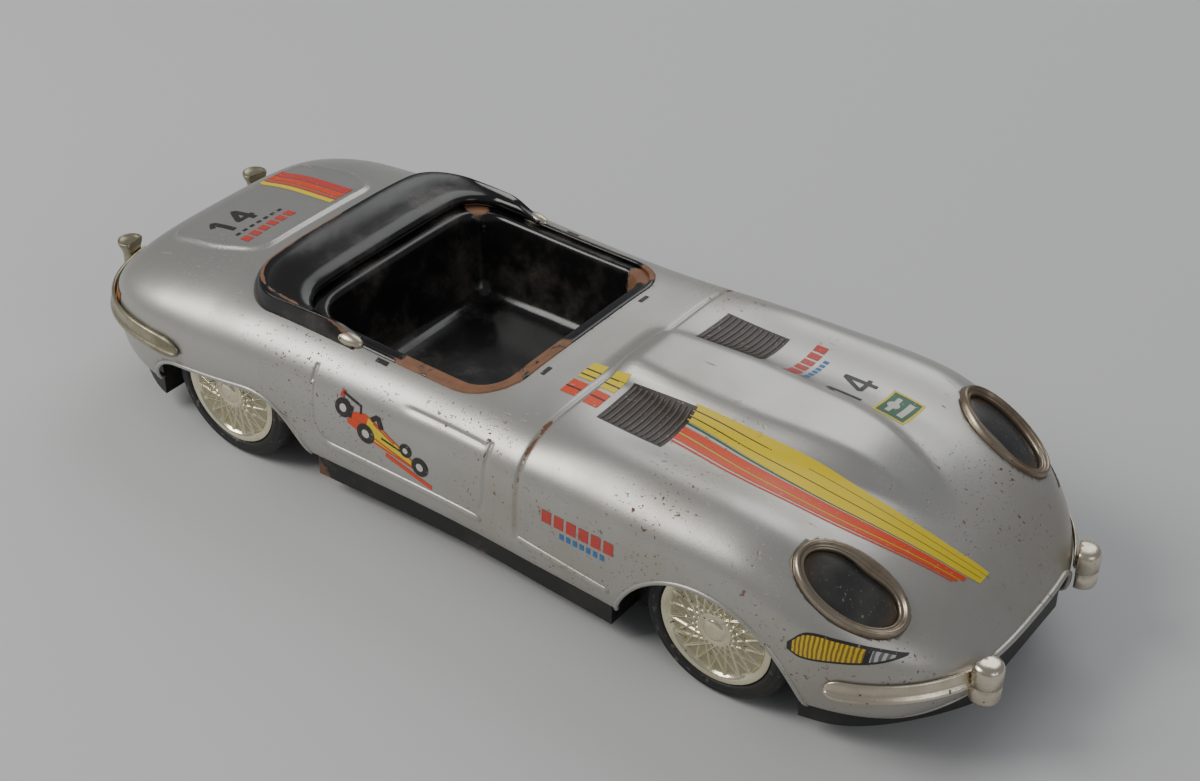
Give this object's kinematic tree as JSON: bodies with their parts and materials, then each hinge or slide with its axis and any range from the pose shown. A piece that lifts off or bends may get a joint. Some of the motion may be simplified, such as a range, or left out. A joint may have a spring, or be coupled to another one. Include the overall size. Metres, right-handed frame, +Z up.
{
  "type": "friction toy car",
  "caption": "Pressed-tin open sports car toy with turning wheels and a geared flywheel friction motor under the boot.",
  "frame": {"origin": "on the ground under the middle of the car, centred between its ends and sides", "axes": "+X towards the nose, +Y to the car's left, +Z up"},
  "size_m": [0.2656, 0.098, 0.0531],
  "materials": {
    "silver_enamel": "worn silver-grey enamel on tin",
    "black_tin": "satin black lacquered tin",
    "black_gloss_enamel": "glossy black enamel, worn to rust at the edges",
    "bezel_nickel": "dull tarnished plating",
    "smoky_lens": "dusty smoky plastic",
    "worn_nickel": "worn warm nickel plating",
    "tyre_rubber": "matt black rubber",
    "wheel_core_plastic": "moulded black plastic",
    "pale_gold_chrome": "yellowed bright plating",
    "plain_tin": "plain tinplate",
    "axle_steel": "drawn steel wire",
    "gear_brass": "stamped brass",
    "flywheel_iron": "turned iron"
  },
  "bodies": {
    "car": {"body_shell": "silver_enamel", "base_plate": "black_tin", "cockpit_tub": "black_gloss_enamel", "folded_top": "black_gloss_enamel", "headlight_bezel_right": "bezel_nickel", "headlight_lens_right": "smoky_lens", "front_bumper_right": "worn_nickel", "front_overrider_right": "worn_nickel", "rear_bumper_right": "worn_nickel", "rear_overrider_right": "worn_nickel", "axle_bracket_right": "plain_tin", "motor_plate_right": "plain_tin", "headlight_bezel_left": "bezel_nickel", "headlight_lens_left": "smoky_lens", "front_bumper_left": "worn_nickel", "front_overrider_left": "worn_nickel", "rear_bumper_left": "worn_nickel", "rear_overrider_left": "worn_nickel", "axle_bracket_left": "plain_tin", "motor_plate_left": "plain_tin", "motor_spacers": "axle_steel"},
    "front_wheels": {"front_axle": "axle_steel", "tyre_front_right": "tyre_rubber", "tyre_front_left": "tyre_rubber", "wheel_core_front_right": "wheel_core_plastic", "wheel_core_front_left": "wheel_core_plastic", "wheel_disc_front_right": "pale_gold_chrome", "wheel_disc_front_left": "pale_gold_chrome"},
    "rear_wheels": {"rear_axle": "axle_steel", "tyre_rear_right": "tyre_rubber", "tyre_rear_left": "tyre_rubber", "wheel_core_rear_right": "wheel_core_plastic", "wheel_core_rear_left": "wheel_core_plastic", "wheel_disc_rear_right": "pale_gold_chrome", "wheel_disc_rear_left": "pale_gold_chrome", "drive_gear": "gear_brass"},
    "layshaft_set": {"layshaft": "axle_steel", "layshaft_gear": "gear_brass", "layshaft_pinion": "gear_brass"},
    "flywheel_set": {"flywheel_shaft": "axle_steel", "flywheel_pinion": "gear_brass", "flywheel": "flywheel_iron"}
  },
  "joints": [
    {"name": "front_axle_spin", "type": "hinge", "parent": "car", "child": "front_wheels", "pos_m": [0.0735, 0, 0.019], "axis": [0, 1, 0], "continuous": true},
    {"name": "rear_axle_spin", "type": "hinge", "parent": "car", "child": "rear_wheels", "pos_m": [-0.0745, 0, 0.019], "axis": [0, 1, 0], "continuous": true},
    {"name": "layshaft_spin", "type": "hinge", "parent": "car", "child": "layshaft_set", "pos_m": [-0.08368, 0, 0.03211], "axis": [0, 1, 0], "continuous": true},
    {"name": "flywheel_spin", "type": "hinge", "parent": "car", "child": "flywheel_set", "pos_m": [-0.09721, 0, 0.02718], "axis": [0, 1, 0], "continuous": true}
  ],
  "couplings": [
    {"joint": "layshaft_spin", "follows": "rear_axle_spin", "ratio": -3},
    {"joint": "flywheel_spin", "follows": "rear_axle_spin", "ratio": 7.8}
  ]
}
